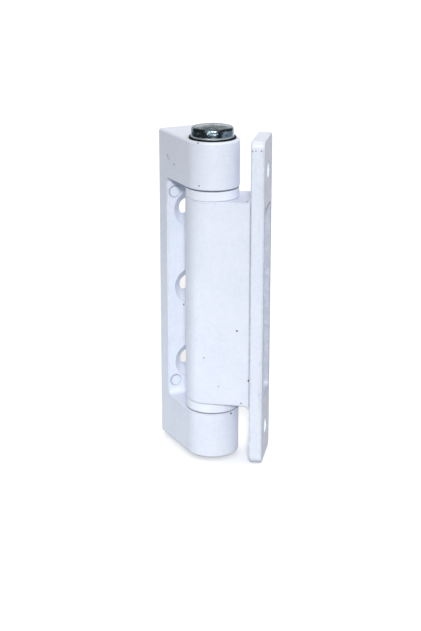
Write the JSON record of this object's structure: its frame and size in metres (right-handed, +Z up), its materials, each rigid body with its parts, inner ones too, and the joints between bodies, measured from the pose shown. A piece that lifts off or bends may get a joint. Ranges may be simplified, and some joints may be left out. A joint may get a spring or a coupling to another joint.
{
  "type": "window hinge",
  "caption": "Upright window hinge: a white cast fork leaf and a white cast sash leaf with a long middle barrel, turning on a headed steel pin in flanged bushes, with a black washer under the head.",
  "frame": {"origin": "middle of the frame leaf's mounting face, on the line of its screw holes", "axes": "+Z up along the pin, +Y out of the frame leaf's mounting face, +X to the right seen from the front"},
  "size_m": [0.0268, 0.0377, 0.1047],
  "materials": {
    "leaf_coat": "cool white powder coat with a fine orange peel, satin",
    "pin_steel": "polished dark steel",
    "washer_rubber": "plain black, matt",
    "bush_nylon": "plain white moulded nylon"
  },
  "bodies": {
    "frame": {"frame_leaf": "leaf_coat", "hinge_pin": "pin_steel", "head_washer": "washer_rubber"},
    "sash": {"sash_leaf": "leaf_coat", "upper_bush": "bush_nylon", "lower_bush": "bush_nylon"}
  },
  "joints": [
    {"name": "sash_swing", "type": "hinge", "parent": "frame", "child": "sash", "pos_m": [0, -0.021, 0], "axis": [0, 0, 1], "range_deg": [-165, 57]}
  ]
}
